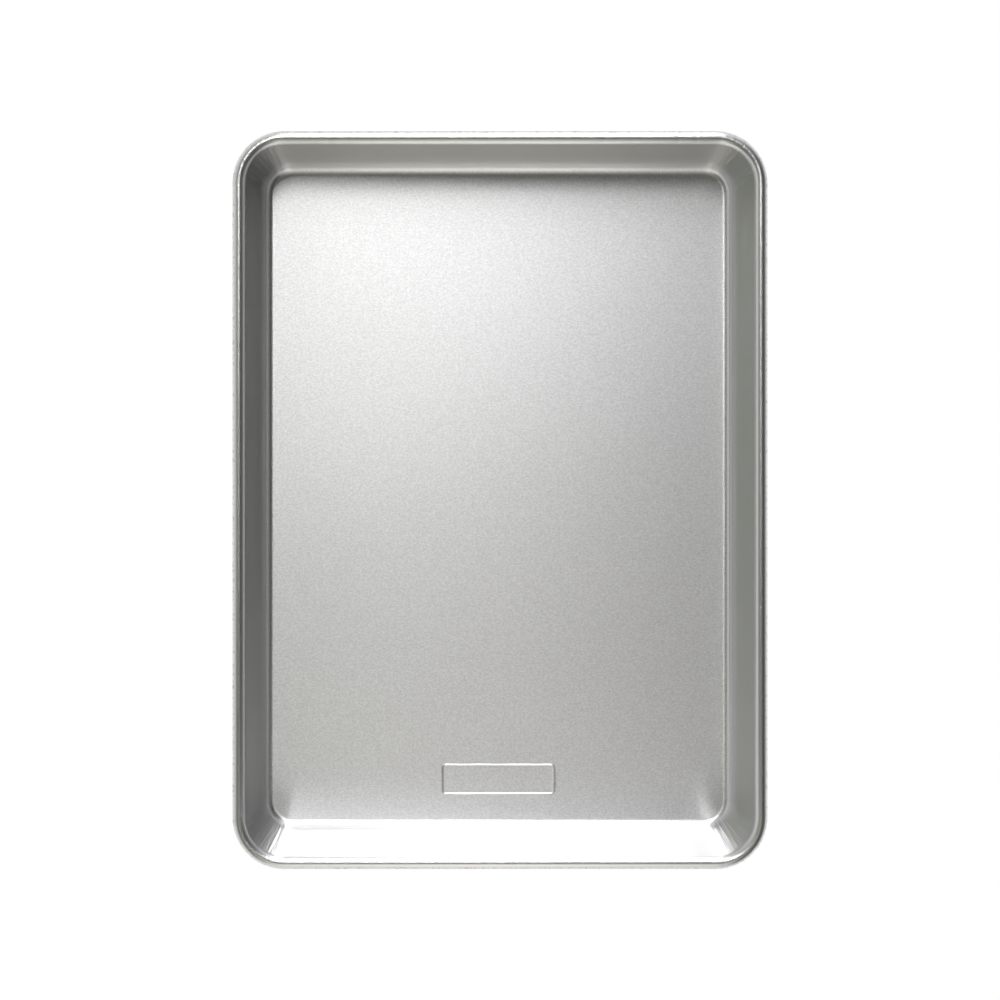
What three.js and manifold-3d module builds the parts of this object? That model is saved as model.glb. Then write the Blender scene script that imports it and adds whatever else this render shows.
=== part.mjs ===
// Sheet cake pan: one pressed aluminium sheet with a rolled rim, and the steel wire trapped in the roll.
// Millimetres, +Z up. The origin is under the middle of the floor, on the surface that the pan stands on.
import * as THREE from 'three';
import { mergeVertices } from 'three/addons/utils/BufferGeometryUtils.js';
import Module from 'manifold-3d';

// Overall size, measured over the rolled rim
const panWidth = 330;
const panLength = 455;
const panHeight = 51;
const rimCornerRadius = 32;

// Pressed sheet
const sheetThickness = 1.1;
const wallSlope = THREE.MathUtils.degToRad(8.5); // lean of the wall, away from upright
const floorFilletRadius = 5.5; // on the inside, where the floor turns up into the wall

// Rolled rim and the wire in it
const wireDiameter = 5.6;
const wireClearance = 0.3; // between the wire and the roll around it
const curlGap = 0.8; // between the sheet's rolled-in edge and the outside of the wall
const wireEndGap = 1.5; // between the wire's two ends

// Bare frame embossed in the floor, near the short wall at -Y
const frameWidth = 72;
const frameHeight = 19.5;
const frameCornerRadius = 0.8; // inside the line
const frameLineWidth = 1.2;
const frameRise = 0.3;
const frameInset = 25.4; // from the edge of the flat floor to the middle of the frame

// Facets
const cornerSteps = 10; // in each quarter turn of a corner
const curlSteps = 16; // in the roll
const filletSteps = 5; // between floor and wall
const wireSides = 12;
const frameArcSteps = 4;

// Sizes that follow
const quarterTurn = Math.PI / 2;
const curlInnerRadius = wireDiameter / 2 + wireClearance;
const curlOuterRadius = curlInnerRadius + sheetThickness;
const cornerCentre = new THREE.Vector2(panWidth / 2 - rimCornerRadius, panLength / 2 - rimCornerRadius);

// A section is drawn in (reach, height): reach is measured outward from a corner's centre.
const curlCentre = new THREE.Vector2(rimCornerRadius - curlOuterRadius, panHeight - curlOuterRadius);
const wallMeetsCurl = Math.PI - wallSlope; // direction from the curl's centre to where the wall runs into it
const curlEnd = wallMeetsCurl + Math.acos((curlInnerRadius - curlGap) / curlOuterRadius);

// The fillet's centre lies one fillet radius inside the wall's inner face.
const filletHeight = sheetThickness + floorFilletRadius;
const wallTop = new THREE.Vector2(Math.cos(wallMeetsCurl), Math.sin(wallMeetsCurl))
  .multiplyScalar(curlOuterRadius)
  .add(curlCentre);
const wallReach = wallTop.x - (wallTop.y - filletHeight) * Math.tan(wallSlope);
const filletCentre = new THREE.Vector2(wallReach - floorFilletRadius / Math.cos(wallSlope), filletHeight);

const wasm = await Module();
wasm.setup();

function arc(centre, radius, start, end, clockwise, steps) {
  return new THREE.ArcCurve(centre.x, centre.y, radius, start, end, clockwise).getPoints(steps);
}

// Half of the sheet's section: up the inside, over the roll, round its edge and down the outside
function shellSection() {
  const outerFilletRadius = floorFilletRadius + sheetThickness;
  return [
    ...arc(filletCentre, floorFilletRadius, -quarterTurn, -wallSlope, false, filletSteps),
    ...arc(curlCentre, curlOuterRadius, wallMeetsCurl, curlEnd, true, curlSteps),
    ...arc(curlCentre, curlInnerRadius, curlEnd, wallMeetsCurl, false, curlSteps),
    ...arc(filletCentre, outerFilletRadius, -wallSlope, -quarterTurn, true, filletSteps),
  ];
}

// Places where a section stands: the steps of each corner's quarter turn, anticlockwise from the +Y side
function cornerStations() {
  const corners = [[-1, 1], [-1, -1], [1, -1], [1, 1]];
  return corners.flatMap(([sideX, sideY], corner) => {
    const centre = cornerCentre.clone().multiply(new THREE.Vector2(sideX, sideY));
    return Array.from({ length: cornerSteps + 1 }, (_, step) => {
      return { centre, angle: (1 + corner + step / cornerSteps) * quarterTurn };
    });
  });
}

// Skin of a section carried from station to station, one row of points for each station
function sweptSkin(section, stations) {
  const points = stations.flatMap(({ centre, angle }) => {
    return section.map(({ x: reach, y: height }) => {
      return new THREE.Vector3(
        centre.x + reach * Math.cos(angle),
        centre.y + reach * Math.sin(angle),
        height,
      );
    });
  });
  return { points, triangles: [], rowLength: section.length };
}

function joinRows(skin, row, nextRow, column, nextColumn) {
  const near = row * skin.rowLength;
  const far = nextRow * skin.rowLength;
  skin.triangles.push(near + column, near + nextColumn, far + nextColumn);
  skin.triangles.push(near + column, far + nextColumn, far + column);
}

// Flat fan of triangles from the middle of a ring of points to its edge
function fillRing(skin, ring) {
  const middle = ring.reduce((sum, index) => sum.add(skin.points[index]), new THREE.Vector3());
  const middleIndex = skin.points.push(middle.divideScalar(ring.length)) - 1;
  ring.forEach((index, place) => {
    skin.triangles.push(middleIndex, index, ring[(place + 1) % ring.length]);
  });
}

function skinGeometry({ points, triangles }) {
  return new THREE.BufferGeometry().setFromPoints(points).setIndex(triangles);
}

function toSolid(geometry) {
  geometry.deleteAttribute('normal');
  geometry.deleteAttribute('uv');
  const merged = mergeVertices(geometry);
  const vertProperties = merged.getAttribute('position').array;
  const triVerts = Uint32Array.from(merged.index.array);
  return new wasm.Manifold(new wasm.Mesh({ numProp: 3, vertProperties, triVerts }));
}

function toGeometry(solid) {
  const { vertProperties, triVerts } = solid.getMesh();
  const geometry = new THREE.BufferGeometry();
  geometry.setAttribute('position', new THREE.BufferAttribute(vertProperties, 3));
  geometry.setIndex(new THREE.BufferAttribute(triVerts, 1));
  geometry.computeVertexNormals();
  return geometry;
}

// Rounded rectangle about the frame's middle, drawn anticlockwise
function roundedRectangle(width, height, radius) {
  const right = width / 2 - radius;
  const top = height / 2 - radius;
  const outline = new THREE.Shape();
  outline.absarc(right, top, radius, 0, quarterTurn);
  outline.absarc(-right, top, radius, quarterTurn, 2 * quarterTurn);
  outline.absarc(-right, -top, radius, 2 * quarterTurn, 3 * quarterTurn);
  outline.absarc(right, -top, radius, 3 * quarterTurn, 4 * quarterTurn);
  outline.closePath();
  return outline;
}

// The frame's line as a closed band between two heights
function frameBand(bottom, top) {
  const innerWidth = frameWidth - 2 * frameLineWidth;
  const innerHeight = frameHeight - 2 * frameLineWidth;
  const band = roundedRectangle(frameWidth, frameHeight, frameCornerRadius + frameLineWidth);
  band.holes.push(roundedRectangle(innerWidth, innerHeight, frameCornerRadius));
  const geometry = new THREE.ExtrudeGeometry(band, {
    depth: top - bottom,
    bevelEnabled: false,
    curveSegments: frameArcSteps,
  });
  const floorEdge = cornerCentre.y + filletCentre.x;
  return toSolid(geometry.translate(0, frameInset - floorEdge, bottom));
}

function panShell() {
  const stations = cornerStations();
  const section = shellSection();
  const skin = sweptSkin(section, stations);
  for (let row = 0; row < stations.length; row += 1) {
    for (let column = 0; column < section.length - 1; column += 1) {
      joinRows(skin, row, (row + 1) % stations.length, column, column + 1);
    }
  }
  const floorTop = stations.map((_, row) => row * section.length);
  const floorBottom = floorTop.map((index) => index + section.length - 1).reverse();
  fillRing(skin, floorTop);
  fillRing(skin, floorBottom);

  // The pressed line stands up from the floor and leaves a groove of the same depth below it.
  const middleOfSheet = sheetThickness / 2;
  const ridge = frameBand(middleOfSheet, sheetThickness + frameRise);
  const groove = frameBand(frameRise - sheetThickness, frameRise);
  return toGeometry(toSolid(skinGeometry(skin)).add(ridge).subtract(groove));
}

function rimWire() {
  const circle = arc(curlCentre, wireDiameter / 2, 0, 4 * quarterTurn, true, wireSides).slice(0, wireSides);
  // The ends meet in the middle of the +Y side.
  const firstEnd = { centre: new THREE.Vector2(-wireEndGap / 2, cornerCentre.y), angle: quarterTurn };
  const lastEnd = { centre: new THREE.Vector2(wireEndGap / 2, cornerCentre.y), angle: 5 * quarterTurn };
  const stations = [firstEnd, ...cornerStations(), lastEnd];
  const skin = sweptSkin(circle, stations);
  for (let row = 0; row < stations.length - 1; row += 1) {
    for (let column = 0; column < wireSides; column += 1) {
      joinRows(skin, row, row + 1, column, (column + 1) % wireSides);
    }
  }
  const firstRing = circle.map((_, column) => column).reverse();
  const lastRing = circle.map((_, column) => (stations.length - 1) * wireSides + column);
  fillRing(skin, firstRing);
  fillRing(skin, lastRing);
  return toGeometry(toSolid(skinGeometry(skin)));
}

const aluminium = new THREE.MeshStandardMaterial({ color: 0xc8c8c4, roughness: 0.4, metalness: 1 });
const galvanisedSteel = new THREE.MeshStandardMaterial({ color: 0x9ca0a2, roughness: 0.5, metalness: 1 });

const shell = new THREE.Mesh(panShell(), aluminium);
shell.name = 'pan_shell';

const wire = new THREE.Mesh(rimWire(), galvanisedSteel);
wire.name = 'rim_wire';

const sheetCakePan = new THREE.Group();
sheetCakePan.add(shell, wire);

export default sheetCakePan;
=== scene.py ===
import math

import bpy
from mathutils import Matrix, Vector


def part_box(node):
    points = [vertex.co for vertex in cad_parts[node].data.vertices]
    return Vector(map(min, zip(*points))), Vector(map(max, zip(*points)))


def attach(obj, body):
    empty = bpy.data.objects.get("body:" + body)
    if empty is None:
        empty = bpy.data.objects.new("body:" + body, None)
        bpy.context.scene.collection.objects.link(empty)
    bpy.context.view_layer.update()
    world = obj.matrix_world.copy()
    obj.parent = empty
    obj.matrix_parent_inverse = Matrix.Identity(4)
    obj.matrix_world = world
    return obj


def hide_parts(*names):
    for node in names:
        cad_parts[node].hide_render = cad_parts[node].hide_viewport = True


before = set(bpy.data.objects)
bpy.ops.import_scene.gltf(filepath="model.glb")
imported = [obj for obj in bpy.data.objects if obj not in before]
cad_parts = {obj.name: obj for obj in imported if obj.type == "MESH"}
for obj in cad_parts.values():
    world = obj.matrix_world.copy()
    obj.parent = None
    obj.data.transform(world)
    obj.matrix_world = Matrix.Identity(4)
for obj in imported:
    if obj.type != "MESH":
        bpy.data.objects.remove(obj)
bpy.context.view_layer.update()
mm = 0.001
scene = bpy.context.scene
print("frame loaded:", ", ".join(sorted(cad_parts)))


# One socket of a node tree. Sums and products of flows add their Math nodes to the tree.
class Flow:
    def __init__(self, tree, socket=None):
        self.tree = tree
        self.socket = socket

    def add(self, kind, settings=None, sockets=None, out=0):
        node = self.tree.nodes.new(kind)
        for name, value in (settings or {}).items():
            setattr(node, name, value)
        for name, value in (sockets or {}).items():
            self.plug(value, self.pick(node.inputs, name))
        return Flow(self.tree, self.pick(node.outputs, out)) if node.outputs else node

    def pick(self, sockets, name):
        if isinstance(name, int):
            return sockets[name]
        return next(s for s in sockets if s.name == name and s.enabled)

    def plug(self, value, target):
        for each in value if isinstance(value, list) else [value]:
            if isinstance(each, Flow):
                self.tree.links.new(each.socket, target)
            else:
                target.default_value = each

    def out(self, name):
        return Flow(self.tree, self.pick(self.socket.node.outputs, name))

    def math(self, operation, *values):
        return self.add("ShaderNodeMath", {"operation": operation}, dict(enumerate(values)))

    def __add__(self, other):
        return self.math("ADD", self, other)

    def __sub__(self, other):
        return self.math("SUBTRACT", self, other)

    def __mul__(self, other):
        return self.math("MULTIPLY", self, other)

    def __truediv__(self, other):
        return self.math("DIVIDE", self, other)

    def __pow__(self, other):
        return self.math("POWER", self, other)

    def __mod__(self, other):
        return self.math("FLOORED_MODULO", self, other)

    def __lt__(self, other):
        return self.math("LESS_THAN", self, other)

    def __gt__(self, other):
        return self.math("GREATER_THAN", self, other)

    def __radd__(self, other):
        return self.math("ADD", other, self)

    def __rsub__(self, other):
        return self.math("SUBTRACT", other, self)

    def __rmul__(self, other):
        return self.math("MULTIPLY", other, self)

    def __rtruediv__(self, other):
        return self.math("DIVIDE", other, self)

    def __neg__(self):
        return self.math("MULTIPLY", self, -1)

    def __abs__(self):
        return self.math("ABSOLUTE", self)

    def low(self, other):
        return self.math("MINIMUM", self, other)

    def high(self, other):
        return self.math("MAXIMUM", self, other)

    def fade(self, start, end):  # 0 at start, 1 at end, with a soft ramp between
        sockets = {"Value": self, "From Min": start, "From Max": end}
        return self.add("ShaderNodeMapRange", {"interpolation_type": "SMOOTHSTEP"}, sockets)

    def blend(self, first, second):  # first where this is 0, second where it is 1
        return first + self * (second - first)

    def parts(self):
        split = self.add("ShaderNodeSeparateXYZ", sockets={0: self})
        return split, split.out("Y"), split.out("Z")

    def join(self, x, y, z):
        return self.add("ShaderNodeCombineXYZ", sockets={0: x, 1: y, 2: z})

    def noise(self, scale, detail):  # about 0 to 1, over the vector in this flow
        return self.add("ShaderNodeTexNoise", sockets={"Vector": self, "Scale": scale, "Detail": detail})

    def vector(self, operation, *values):
        return self.add("ShaderNodeVectorMath", {"operation": operation}, dict(enumerate(values)), "Vector")

    def tilt(self, slope):  # normal leaned by a slope, at right angles to the X axis
        across = self.vector("NORMALIZE", self.vector("CROSS_PRODUCT", self, (1, 0, 0)))
        sockets = {0: across, "Scale": slope}
        lean = self.add("ShaderNodeVectorMath", {"operation": "SCALE"}, sockets, "Vector")
        return self.vector("NORMALIZE", self.vector("ADD", self, lean))

    def tint(self, first, second):  # colour mixed from first to second by this value
        settings = {"data_type": "RGBA"}
        return self.add("ShaderNodeMix", settings, {"Factor": self, "A": first, "B": second}, "Result")


def newTree(name, sizes):
    tree = bpy.data.node_groups.new(name, "GeometryNodeTree")
    tree.is_modifier = True
    kinds = {int: "NodeSocketInt", float: "NodeSocketFloat"}
    for label, value in sizes.items():
        kind = kinds.get(type(value), "NodeSocketMaterial")
        tree.interface.new_socket(label, in_out="INPUT", socket_type=kind)
    tree.interface.new_socket("Piece", in_out="OUTPUT", socket_type="NodeSocketGeometry")
    given = tree.nodes.new("NodeGroupInput")
    return Flow(tree), {label: Flow(tree, given.outputs[label]) for label in sizes}


meshLook = {
    "weld": 0.002 * mm,  # points closer than this become one
    "hardAngle": math.radians(40),
    "cornerPoints": 90,  # in each quarter turn of a loop round the rim
}


# Last nodes of a tree: welded, smooth except at hard corners, real faces, with their finish
def endTree(pen, shapes, finish):
    piece = pen.add("GeometryNodeJoinGeometry", sockets={"Geometry": shapes})
    piece = pen.add("GeometryNodeMergeByDistance",
                    sockets={"Geometry": piece, "Distance": meshLook["weld"]})
    piece = pen.add("GeometryNodeSetShadeSmooth", {"domain": "FACE"}, {"Geometry": piece})
    hard = pen.add("GeometryNodeInputMeshEdgeAngle") > meshLook["hardAngle"]
    piece = pen.add("GeometryNodeSetShadeSmooth", {"domain": "EDGE"},
                    {"Geometry": piece, "Selection": hard, "Shade Smooth": False})
    piece = pen.add("GeometryNodeRealizeInstances", sockets={"Geometry": piece})
    piece = pen.add("GeometryNodeSetMaterial", sockets={"Geometry": piece, "Material": finish})
    pen.add("NodeGroupOutput", sockets={"Piece": piece})


def makePiece(name, tree, sizes):
    piece = bpy.data.objects.new(name, bpy.data.meshes.new(name))
    scene.collection.objects.link(piece)
    modifier = piece.modifiers.new(tree.name, "NODES")
    modifier.node_group = tree
    for item in tree.interface.items_tree:
        if item.in_out == "INPUT":
            modifier[item.identifier] = sizes[item.name]
    depsgraph = bpy.context.evaluated_depsgraph_get()
    mesh = bpy.data.meshes.new_from_object(piece.evaluated_get(depsgraph))
    piece.modifiers.remove(modifier)
    piece.data = mesh
    mesh.name = name
    mesh.calc_loop_triangles()
    print(f"{name}: {len(mesh.vertices)} points, {len(mesh.loop_triangles)} triangles")
    return piece


# Rounded rectangle along the middle of the rolled rim, as a fine loop of points
def rimLoop(pen, width, length, radius):
    loop = pen.add("GeometryNodeCurvePrimitiveQuadrilateral", {"mode": "RECTANGLE"},
                   {"Width": width, "Height": length})
    loop = pen.add("GeometryNodeFilletCurve", {"mode": "POLY"}, {
        "Curve": loop, "Count": meshLook["cornerPoints"], "Radius": radius, "Limit Radius": True})
    return loop, pen.add("GeometryNodeCurveLength", sockets={"Curve": loop})


def newMaterial(name):
    material = bpy.data.materials.new(name)
    material.use_nodes = True
    material.node_tree.nodes.clear()
    return material, Flow(material.node_tree)


aluminiumLook = {
    "cornerX": 133 * mm,  # centre of each round corner
    "cornerY": 195.5 * mm,
    "cornerReach": 28 * mm,
    "cornerFade": 8 * mm,
    "cornerShift": (0.31, 0.17),  # so that no two corners are alike
    "floorTop": 1.4 * mm,  # heights at which one finish gives way to the next
    "wallStart": 4.2 * mm,
    "drawnStart": 1.15 * mm,  # where the press has smoothed the sheet
    "drawnEnd": 1.7 * mm,
    "wallEnd": 45.6 * mm,
    "rimStart": 47.6 * mm,
    "edgeStart": 29.6 * mm,  # outer flank of the roll, darkened with painted shade and scuffs, as reach from a corner's centre
    "edgeEnd": 31.6 * mm,
    "pale": (0.94, 0.94, 0.945, 1),
    "dull": (0.66, 0.66, 0.66, 1),
    # colour of the spots on the roll's outer flank: scuffs, and painted shade for the shadowed floor that
    # the flank reflects
    "scuffShadeColour": (0.36, 0.35, 0.33, 1),
    "floorRoughness": 0.235,
    "wallRoughness": 0.225,
    "rimRoughness": 0.225,
    # slope of their flanks, share of the light and added roughness
    "rollingMarks": [(0.13, 0.55, 0.06), (0.28, 0.25, 0.12)],
    "drawnMarks": 0.45,  # what is left of them on the drawn walls and rim
    # stretch, scale and detail of each pattern
    "grain": ((0.7, 1, 1), 1150, 0.5),
    "rolling": ((0.12, 1, 1), 2600, 1.0),
    "cloud": ((1, 1, 1), 14, 3.0),
    "streak": ((9, 9, 900), 1, 2.0),
    "ripple": ((1, 1, 1), 260, 1.0),
    "scuffShade": ((1, 1, 1), 520, 2.0),
    "drawLine": ((420, 20, 0), 1, 1.0),
    "hatch": ((460, 60, 0), 1, 1.5),
    # where the spot pattern starts to darken the outer flank: scuffs and painted shade
    "scuffShadeEdge": (0.0, 0.18),
    # how far each pattern changes the colour, the roughness and the height, which is in millimetres
    # the last tone darkens the roll's outer flank evenly all round, as painted shade
    "tones": {"grain": 1.45, "streak": 0.2, "cloud": 0.12, "edge": -0.45},
    "hazes": {"grain": 0.02, "streak": 0.03, "drawLine": 0.03, "edge": 0.08},
    "heights": {"rolling": 0.002, "streak": 0.004, "drawLine": 0.4, "ripple": 0.02, "hatch": 0.12},
}


# Pressed sheet: satin rolled floor, smoother drawn walls, bright burnished rim with wrinkles at the
# corners, and scuffs with painted shade on the roll's outer flank
def pressedAluminium(look):
    material, pen = newMaterial("pressedAluminium")
    place = pen.add("ShaderNodeTexCoord", out="Object")
    x, y, z = place.parts()
    rim = z.fade(look["wallEnd"], look["rimStart"])
    floor = 1 - z.fade(look["floorTop"], look["wallStart"])
    wall = 1 - rim - floor

    beyondX = abs(x) - look["cornerX"]
    beyondY = abs(y) - look["cornerY"]
    corner = beyondX.fade(0, look["cornerFade"]) * beyondY.fade(0, look["cornerFade"])
    reach = pen.math("SQRT", beyondX.high(0) ** 2 + beyondY.high(0) ** 2)
    # outer flank of the roll, whose colour gets painted shade and scuffs, and whose roughness gets more
    # haze
    edge = rim * reach.fade(look["edgeStart"], look["edgeEnd"])
    shiftX, shiftY = look["cornerShift"]
    along = pen.math("ARCTAN2", beyondY, beyondX) * look["cornerReach"]
    along = along + pen.math("SIGN", x) * shiftX + pen.math("SIGN", y) * shiftY
    onArc = pen.join(along, z, 0)

    def pattern(base, name):  # about -0.5 to 0.5
        stretch, scale, detail = look[name]
        return pen.vector("MULTIPLY", base, stretch).noise(scale, detail) - 0.5

    grain, rolling, cloud = (pattern(place, name) for name in ("grain", "rolling", "cloud"))
    streak, ripple = (pattern(place, name) for name in ("streak", "ripple"))
    drawLine, hatch = (pattern(onArc, name) * corner for name in ("drawLine", "hatch"))
    # mottled spots on the outer flank: scuff wear that also darkens it as painted shade
    scuffShade = pattern(place, "scuffShade").fade(*look["scuffShadeEdge"])

    tones, hazes, heights = look["tones"], look["hazes"], look["heights"]
    tone = 0.5 + floor * grain * tones["grain"] + wall * streak * tones["streak"]
    # painted shade: the roll's outer flank is made darker, then dark scuff spots are mixed in
    tone = tone + cloud * tones["cloud"] + edge * tones["edge"]
    colour = tone.tint(look["dull"], look["pale"])
    colour = (edge * scuffShade).tint(colour, look["scuffShadeColour"])
    rough = floor * (look["floorRoughness"] + grain * hazes["grain"])
    rough = rough + wall * (look["wallRoughness"] + streak * hazes["streak"] + drawLine * hazes["drawLine"])
    rough = rough + rim * (look["rimRoughness"] + edge * hazes["edge"])
    height = floor * rolling * heights["rolling"]
    height = height + wall * (streak * heights["streak"] + drawLine * heights["drawLine"])
    height = height + rim * (ripple * heights["ripple"] + hatch * heights["hatch"])
    bump = pen.add("ShaderNodeBump", sockets={"Strength": 1.0, "Distance": mm, "Height": height})
    marks = z.fade(look["drawnStart"], look["drawnEnd"]).blend(1, look["drawnMarks"])

    def metal(normal, haze):
        return pen.add("ShaderNodeBsdfPrincipled", sockets={
            "Base Color": colour, "Metallic": 1.0, "Roughness": rough + haze, "Normal": normal})

    surface = metal(bump, 0)
    for slope, share, haze in look["rollingMarks"]:  # the marks run along X and spread light the other way
        near, far = (metal(bump.tilt(marks * way), haze) for way in (-slope, slope))
        flanks = pen.add("ShaderNodeMixShader", sockets={0: 0.5, 1: near, 2: far})
        surface = pen.add("ShaderNodeMixShader", sockets={0: share, 1: surface, 2: flanks})
    pen.add("ShaderNodeOutputMaterial", sockets={"Surface": surface})
    return material


wireLook = {
    "pale": (0.66, 0.68, 0.69, 1),
    "dull": (0.46, 0.48, 0.49, 1),
    "crystalScale": 420,
    "cloud": (60, 3.0),  # scale and detail
    "fine": (2400, 2.0),
    "crystalTone": 0.6,
    "cloudTone": 0.5,
    "roughness": 0.34,
    "crystalHaze": 0.16,
    "fineHaze": 0.1,
    "fineHeight": 0.01,  # millimetres
}


# Zinc coated wire: patches of crystals and fine drawing lines
def galvanisedWire(look):
    material, pen = newMaterial("galvanisedWire")
    place = pen.add("ShaderNodeTexCoord", out="Object")
    sockets = {"Vector": place, "Scale": look["crystalScale"]}
    crystal = pen.add("ShaderNodeTexVoronoi", sockets=sockets, out="Color").parts()[0]
    cloud = place.noise(*look["cloud"])
    fine = place.noise(*look["fine"])
    tone = crystal * look["crystalTone"] + cloud * look["cloudTone"]
    colour = tone.tint(look["dull"], look["pale"])
    rough = look["roughness"] + crystal * look["crystalHaze"] + (fine - 0.5) * look["fineHaze"]
    height = fine * look["fineHeight"]
    bump = pen.add("ShaderNodeBump", sockets={"Strength": 1.0, "Distance": mm, "Height": height})
    surface = pen.add("ShaderNodeBsdfPrincipled", sockets={
        "Base Color": colour, "Metallic": 1.0, "Roughness": rough, "Normal": bump})
    pen.add("ShaderNodeOutputMaterial", sockets={"Surface": surface})
    return material


low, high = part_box("pan_shell")
shellSizes = {
    "Width": high.x - low.x,
    "Length": high.y - low.y,
    "Height": 51 * mm,
    "Corner Radius": 32 * mm,  # over the rim
    "Sheet": 1.1 * mm,
    "Wall Lean": math.radians(8.5),
    "Floor Fillet": 5.5 * mm,
    "Wire": 5.6 * mm,
    "Wire Clearance": 0.3 * mm,
    "Roll Gap": 0.8 * mm,  # between the rolled-in edge and the wall
    "Frame Width": 73.4 * mm,
    "Frame Height": 19.5 * mm,
    "Frame Corner": 1.6 * mm,  # inside the line
    "Frame Line": 1.0 * mm,
    "Frame Rise": 0.24 * mm,
    "Frame Inset": 25.4 * mm,
    "Level Strip": 0.4 * mm,  # flat part beside each fillet and ridge
    "Creases": 104,
    "Crease Depth": 0.06 * mm,
    "Crease Least": 0.1,  # depth of the faintest crease, as a share of the deepest
    "Crease Shift": 0.35,  # how far a crease strays, as a share of half the space between two
    "Crease Place": 0.78,  # along the roll, from its hidden edge to the wall
    "Crease Span": 0.2,
    "Rim Wave": 0.05 * mm,
    "Wave Scale": 70.0,
    "Seed": 11,
    "Finish": pressedAluminium(aluminiumLook),
}
shellSteps = {  # steps of faces across each strip
    "middle": 2,
    "frameBelow": 6,
    "frameAbove": 8,
    "floor": 8,
    "underFillet": 8,
    "floorFillet": 12,
    "outerWall": 6,
    "innerWall": 7,
    "insideRoll": 15,
    "rollEdge": 1,
    "outsideRoll": 43,
    "crease": 7,  # round the pan, from one crease to the next
}
print("materials for the sheet made")


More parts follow.
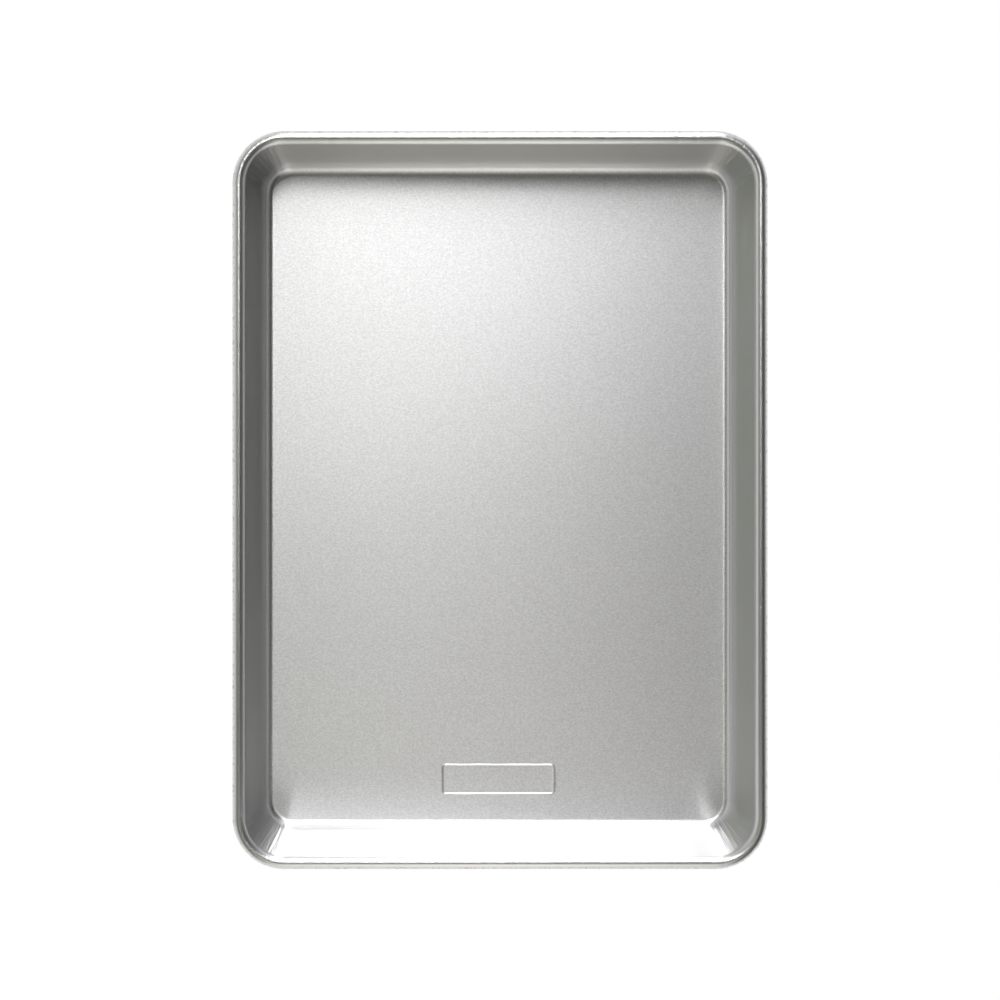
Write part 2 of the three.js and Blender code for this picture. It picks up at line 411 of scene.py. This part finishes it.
# The sheet in strips of faces: each row of a strip is one loop round the pan, at a reach and height of the
# section
def panShell(sizes, steps):
    pen, size = newTree("panShell", sizes)
    cornerX = size["Width"] / 2 - size["Corner Radius"]
    cornerY = size["Length"] / 2 - size["Corner Radius"]
    sheet, fillet, lean = size["Sheet"], size["Floor Fillet"], size["Wall Lean"]
    rollInside = size["Wire"] / 2 + size["Wire Clearance"]
    rollOutside = rollInside + sheet
    rollReach = size["Corner Radius"] - rollOutside
    rollHeight = size["Height"] - rollOutside
    wallAngle = math.pi - lean
    gapAngle = pen.math("ARCCOSINE", (rollInside - size["Roll Gap"]) / rollOutside)
    edgeAngle = wallAngle + gapAngle - 2 * math.pi
    edgeSweep = wallAngle - edgeAngle
    sine, cosine, slope = (pen.math(kind, lean) for kind in ("SINE", "COSINE", "TANGENT"))
    filletHeight = sheet + fillet
    wallTop = rollHeight + rollOutside * sine
    wallFoot = rollReach - rollOutside * cosine - (wallTop - filletHeight) * slope
    filletReach = wallFoot - fillet / cosine

    # Frame on the floor, as a rounded rectangle with the same corners in order
    frameReach = size["Frame Corner"] + size["Frame Line"]
    frameScaleX = (size["Frame Width"] / 2 - frameReach) / cornerX
    frameScaleY = (size["Frame Height"] / 2 - frameReach) / cornerY
    frameY = size["Frame Inset"] - cornerY - filletReach

    loop, loopLength = rimLoop(pen, (cornerX + rollReach) * 2, (cornerY + rollReach) * 2, rollReach)
    start = (rollReach * math.pi / 2 + cornerX) / loopLength  # middle of the +Y side
    creaseSteps = steps["crease"]
    stations = size["Creases"] * creaseSteps

    def random(least, most, cell, seed):
        sockets = {"Min": least, "Max": most, "ID": cell, "Seed": seed}
        return pen.add("FunctionNodeRandomValue", {"data_type": "FLOAT"}, sockets, "Value")

    def strip(stepsAcross, section):
        rows = stepsAcross + 1
        mesh = pen.add("GeometryNodeMeshGrid", sockets={"Vertices X": stations + 1, "Vertices Y": rows})
        index = pen.add("GeometryNodeInputIndex")
        column = pen.math("FLOOR", index / rows)
        t = (index - column * rows) / stepsAcross
        station = column % stations
        cell = pen.math("FLOOR", station / creaseSteps)
        u = (station - cell * creaseSteps + 0.5) * (2 / creaseSteps) - 1  # -1 to 1, 0 on a crease
        shift = random(-size["Crease Shift"], size["Crease Shift"], cell, size["Seed"])
        depth = random(size["Crease Least"], 1.0, cell, size["Seed"] + 1)
        step = u.math("SIGN", u) * abs(u) ** 1.8 + shift * (1 - (u * u) ** 2)  # closer together at a crease
        factor = ((cell + 0.5 + step / 2) / size["Creases"] + start) % 1
        point = pen.add("GeometryNodeSampleCurve", {"mode": "FACTOR", "use_all_curves": True},
                        {"Curves": loop, "Factor": factor}, "Position")
        x, y, _ = point.parts()
        coreX = x.low(cornerX).high(-cornerX)
        coreY = y.low(cornerY).high(-cornerY)
        outX, outY = x - coreX, y - coreY
        span = pen.math("SQRT", outX * outX + outY * outY)
        onCrease = abs(u) < 1 / creaseSteps
        crease = depth * onCrease * size["Crease Depth"]
        wave = (pen.join(x, y, 0).noise(size["Wave Scale"], 1.0) - 0.5) * size["Rim Wave"]
        reach, height, toFrame, toMiddle = section(t, crease, wave)
        scaleX = 1 + toFrame * (frameScaleX - 1)
        scaleY = 1 + toFrame * (frameScaleY - 1)
        placedX = (coreX * scaleX + outX / span * reach) * (1 - toMiddle)
        placedY = (coreY * scaleY + outY / span * reach) * (1 - toMiddle) + frameY * toFrame
        placed = pen.join(placedX, placedY, height)
        return pen.add("GeometryNodeSetPosition", sockets={"Geometry": mesh, "Position": placed})

    # A section turns t, from 0 to 1 across its strip, into reach, height and the shares of the way
    # to the frame's corners and to the frame's middle.
    def arc(centreReach, centreHeight, radius, angle):
        return (centreReach + radius * pen.math("COSINE", angle),
                centreHeight + radius * pen.math("SINE", angle), 0, 0)

    def ease(t):
        return 0.5 - 0.5 * pen.math("COSINE", t * math.pi)

    def bow(t):
        return 0.5 - 0.5 * pen.math("COSINE", t * (2 * math.pi))

    quarter = math.pi / 2
    level = size["Level Strip"]

    def isFirst(t, stepsAcross):
        return t < 0.5 / stepsAcross

    def isLast(t, stepsAcross):
        return t > 1 - 0.5 / stepsAcross

    def underFillet(t, *_):
        turns = steps["underFillet"]
        angle = (t * (turns + 1) - 1).high(0) / turns * (quarter - lean) - quarter
        reach, height, *_ = arc(filletReach, filletHeight, fillet + sheet, angle)
        return reach - isFirst(t, turns + 1) * level, height, 0, 0

    def floorFillet(t, *_):
        turns = steps["floorFillet"]
        angle = -lean - (t * (turns + 1)).low(turns) / turns * (quarter - lean)
        reach, height, *_ = arc(filletReach, filletHeight, fillet, angle)
        return reach - isLast(t, turns + 1) * level, height, 0, 0

    def wallRows(offset, upward):
        def section(t, *_):
            rise = ease(t) if upward else 1 - ease(t)
            radius = fillet + offset
            footReach, footHeight = filletReach + radius * cosine, filletHeight - radius * sine
            topRadius = rollOutside - offset
            topReach, topHeight = rollReach - topRadius * cosine, rollHeight + topRadius * sine
            return rise.blend(footReach, topReach), rise.blend(footHeight, topHeight), 0, 0
        return section

    def insideRoll(t, *_):
        return arc(rollReach, rollHeight, rollInside, wallAngle - t * edgeSweep)

    def rollEdge(t, *_):
        return arc(rollReach, rollHeight, rollInside + sheet * t, edgeAngle)

    def outsideRoll(t, crease, wave):
        inside = (1 - (t * 2 - 1) ** 8).high(0)  # 0 at both ends of the roll
        window = (1 - ((t - size["Crease Place"]) / size["Crease Span"]) ** 2).high(0)
        radius = rollOutside - crease * window + wave * inside
        return arc(rollReach, rollHeight, radius, edgeAngle + t * edgeSweep)

    def floorRows(height, inward):
        def section(t, *_):
            across = t if inward else 1 - t
            wide = steps["floor"] - 1
            toFrame = ease((across * (steps["floor"] / wide)).low(1))
            reach = toFrame.blend(filletReach - level, frameReach + level)
            return reach - isLast(across, steps["floor"]) * level, height, toFrame, 0
        return section

    def frameRows(height, inward):
        def section(t, *_):
            across = t if inward else 1 - t
            return frameReach - across * size["Frame Line"], height + bow(t) * size["Frame Rise"], 1, 0
        return section

    def middleRows(height, inward):
        def section(t, *_):
            across = t if inward else 1 - t
            return frameReach - size["Frame Line"], height, 1, across ** 5
        return section

    shapes = [
        strip(steps["middle"], middleRows(0.0, False)),
        strip(steps["frameBelow"], frameRows(0.0, False)),
        strip(steps["floor"], floorRows(0.0, False)),
        strip(steps["underFillet"] + 1, underFillet),
        strip(steps["outerWall"], wallRows(sheet, True)),
        strip(steps["insideRoll"], insideRoll),
        strip(steps["rollEdge"], rollEdge),
        strip(steps["outsideRoll"], outsideRoll),
        strip(steps["innerWall"], wallRows(0, False)),
        strip(steps["floorFillet"] + 1, floorFillet),
        strip(steps["floor"], floorRows(sheet, True)),
        strip(steps["frameAbove"], frameRows(sheet, True)),
        strip(steps["middle"], middleRows(sheet, True)),
    ]
    endTree(pen, shapes, size["Finish"])
    return pen.tree


shell = makePiece("panShell", panShell(shellSizes, shellSteps), shellSizes)
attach(shell, "root")
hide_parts("pan_shell")

rollRadius = shellSizes["Wire"] / 2 + shellSizes["Wire Clearance"] + shellSizes["Sheet"]
wireSizes = {
    "Width": shellSizes["Width"],
    "Length": shellSizes["Length"],
    "Roll Reach": shellSizes["Corner Radius"] - rollRadius,
    "Roll Depth": rollRadius,  # from the rim's outside to the wire's middle
    "Height": shellSizes["Height"] - rollRadius,
    "Wire": shellSizes["Wire"],
    "End Gap": 1.5 * mm,
    "Points": 420,
    "Sides": 20,
    "Finish": galvanisedWire(wireLook),
}


# One length of wire round the inside of the roll, its ends facing each other in the middle of the +Y side
def rimWire(sizes):
    pen, size = newTree("rimWire", sizes)
    width = size["Width"] - size["Roll Depth"] * 2
    length = size["Length"] - size["Roll Depth"] * 2
    loop, loopLength = rimLoop(pen, width, length, size["Roll Reach"])
    start = (size["Roll Reach"] * (math.pi / 2 - 1) + width / 2) / loopLength
    gap = size["End Gap"] / loopLength
    line = pen.add("GeometryNodeCurvePrimitiveLine", {"mode": "POINTS"})
    line = pen.add("GeometryNodeResampleCurve", {"mode": "COUNT"}, {"Curve": line, "Count": size["Points"]})
    share = pen.add("GeometryNodeSplineParameter", out="Factor")
    factor = (start + gap / 2 + share * (1 - gap)) % 1
    place = pen.add("GeometryNodeSampleCurve", {"mode": "FACTOR", "use_all_curves": True},
                    {"Curves": loop, "Factor": factor}, "Position")
    lift = pen.join(0, 0, size["Height"])
    line = pen.add("GeometryNodeSetPosition", sockets={"Geometry": line, "Position": place, "Offset": lift})
    circle = pen.add("GeometryNodeCurvePrimitiveCircle", {"mode": "RADIUS"},
                     {"Resolution": size["Sides"], "Radius": size["Wire"] / 2})
    wire = pen.add("GeometryNodeCurveToMesh",
                   sockets={"Curve": line, "Profile Curve": circle, "Fill Caps": True})
    endTree(pen, [wire], size["Finish"])
    return pen.tree


wire = makePiece("rimWire", rimWire(wireSizes), wireSizes)
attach(wire, "root")
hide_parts("rim_wire")

stageLook = {
    "reach": 20.0,
    "drop": 0.2 * mm,  # below the pan's underside
    "white": 0.955,
    "shade": (0.1, 0.1, 0.1, 1),  # share of the floor's brightness that the pan's shadow takes away
}


def paleFloor(look):
    side = look["reach"]
    corners = [(-side, -side), (side, -side), (side, side), (-side, side)]
    mesh = bpy.data.meshes.new("paleFloor")
    mesh.from_pydata([(x, y, -look["drop"]) for x, y in corners], [], [(0, 1, 2, 3)])
    floor = bpy.data.objects.new("paleFloor", mesh)
    scene.collection.objects.link(floor)
    material, pen = newMaterial("paleFloor")
    path = pen.add("ShaderNodeLightPath", out="Is Camera Ray")
    seen = (path + path.out("Is Glossy Ray") + path.out("Is Transmission Ray")).low(1)
    glow = pen.add("ShaderNodeEmission", sockets={"Strength": seen * look["white"]})
    matt = pen.add("ShaderNodeBsdfDiffuse", sockets={"Color": look["shade"]})
    surface = pen.add("ShaderNodeAddShader", sockets={0: glow, 1: matt})
    pen.add("ShaderNodeOutputMaterial", sockets={"Surface": surface})
    mesh.materials.append(material)
    return floor


paleFloor(stageLook)

# Edges are slopes away from straight up, to the right or to the back.
studioLook = {
    "softBox": (7.4, 7.4, 7.45, 1),
    "softBoxLow": (3.5, 3.5, 3.55, 1),
    "softBoxDim": (0.4, 0.7),  # from the one to the other
    "boxLeft": -0.18,
    "boxRight": 0.0,
    "boxSpread": 0.24,  # how much further right it reaches towards the back
    "boxNear": 0.275,
    "boxSlant": 0.4,  # how much further back its near edge lies towards the right
    "sideBlur": 0.05,
    "nearBlur": 0.02,
    "ceiling": (0.034, 0.031, 0.025, 1),
    "front": (0.65, 0.625, 0.55, 1),
    "frontEdge": (0.28, 0.6),
    "leftFront": (0.088, 0.1, 0.068, 1),
    "leftBack": (0.247, 0.262, 0.206, 1),
    "leftTurn": (-0.2, 0.12),  # from the front part to the back part
    "leftEdge": (0.06, 0.26),
    "leftLow": (0.60, 0.60, 0.60, 1),
    "leftLowEdge": (0.6, 1.6),
    "rightNear": (0.15, 0.15, 0.15, 1),
    "rightEdge": (0.13, 0.2),
    "right": (0.03, 0.03, 0.029, 1),
    "rightTurn": (0.28, 0.36),  # from the near part to the rest
    "rightLow": (0.18, 0.18, 0.172, 1),
    "rightLowEdge": (0.8, 1.5),
    "back": (0.5, 0.5, 0.5, 1),
    "backEdge": (0.5, 1.5),
    "backCorner": (-0.4, 0.4),
    "horizon": (1.0, 1.0, 1.0, 1),
    "horizonEdge": (math.sin(math.radians(3)), math.sin(math.radians(6))),
    "leastUp": 0.03,  # keeps the slopes finite at the horizon
}


# Dim room with one long soft box that reaches from overhead down to the back
def softStudio(look):
    world = bpy.data.worlds.new("softStudio")
    scene.world = world
    world.use_nodes = True
    world.node_tree.nodes.clear()
    pen = Flow(world.node_tree)
    x, y, z = pen.add("ShaderNodeTexCoord", out="Generated").parts()
    up = z.high(look["leastUp"])
    across, along = x / up, y / up
    left = along.fade(*look["leftTurn"]).tint(look["leftFront"], look["leftBack"])
    left = (-across).fade(*look["leftLowEdge"]).tint(left, look["leftLow"])
    right = across.fade(*look["rightTurn"]).tint(look["rightNear"], look["right"])
    right = across.fade(*look["rightLowEdge"]).tint(right, look["rightLow"])
    light = (-along).fade(*look["frontEdge"]).tint(look["ceiling"], look["front"])
    light = (-across).fade(*look["leftEdge"]).tint(light, left)
    light = across.fade(*look["rightEdge"]).tint(light, right)
    back = along.fade(*look["backEdge"]) * (along - abs(across)).fade(*look["backCorner"])
    light = back.tint(light, look["back"])

    sideBlur, nearBlur = look["sideBlur"], look["nearBlur"]
    pastLeft = across - look["boxLeft"]
    pastRight = across - along.high(0) * look["boxSpread"] - look["boxRight"]
    pastNear = along - across * look["boxSlant"] - look["boxNear"]
    box = pastLeft.fade(-sideBlur, sideBlur) * (1 - pastRight.fade(-sideBlur, sideBlur))
    box = box * pastNear.fade(-nearBlur, nearBlur)
    boxLight = along.fade(*look["softBoxDim"]).tint(look["softBox"], look["softBoxLow"])
    light = box.tint(light, boxLight)
    light = z.fade(*look["horizonEdge"]).tint(look["horizon"], light)
    glow = pen.add("ShaderNodeBackground", sockets={"Color": light, "Strength": 1.0})
    pen.add("ShaderNodeOutputWorld", sockets={"Surface": glow})


softStudio(studioLook)

cardLook = {
    "top": (-0.375, 0.44),  # place along Y and height of its two edges
    "foot": (-0.514, 0.09),
    "width": 0.5,
    "glow": 0.5,
    "wattsPerGlow": 4,  # for each square metre of an area lamp
    "colour": (1.0, 0.985, 0.94),
}


# White card that leans towards the pan in front of it, as an area lamp
def frontCard(look):
    lamp = bpy.data.objects.new("frontCard", bpy.data.lights.new("frontCard", "AREA"))
    scene.collection.objects.link(lamp)
    lamp.visible_camera = False
    (topY, topZ), (footY, footZ) = look["top"], look["foot"]
    height = math.hypot(topY - footY, topZ - footZ)
    lamp.location = (0, (topY + footY) / 2, (topZ + footZ) / 2)
    lamp.rotation_euler = (math.atan2(topZ - footZ, topY - footY), 0, 0)
    lamp.data.shape = "RECTANGLE"
    lamp.data.size = look["width"]
    lamp.data.size_y = height
    lamp.data.color = look["colour"]
    lamp.data.energy = look["glow"] * look["width"] * height * look["wattsPerGlow"]


frontCard(cardLook)
print("floor and light made")

cameraLook = {
    "place": (-22 * mm, 40 * mm, 1.017),
    "sensor": 36,
    "lens": 56.6,
    "shift": (0.0357, -0.0648),
}


def overheadCamera(look):
    camera = bpy.data.objects.new("overheadCamera", bpy.data.cameras.new("overheadCamera"))
    scene.collection.objects.link(camera)
    camera.location = look["place"]
    camera.data.sensor_width = look["sensor"]
    camera.data.lens = look["lens"]
    camera.data.shift_x, camera.data.shift_y = look["shift"]
    scene.camera = camera


overheadCamera(cameraLook)
scene.view_settings.view_transform = "Standard"
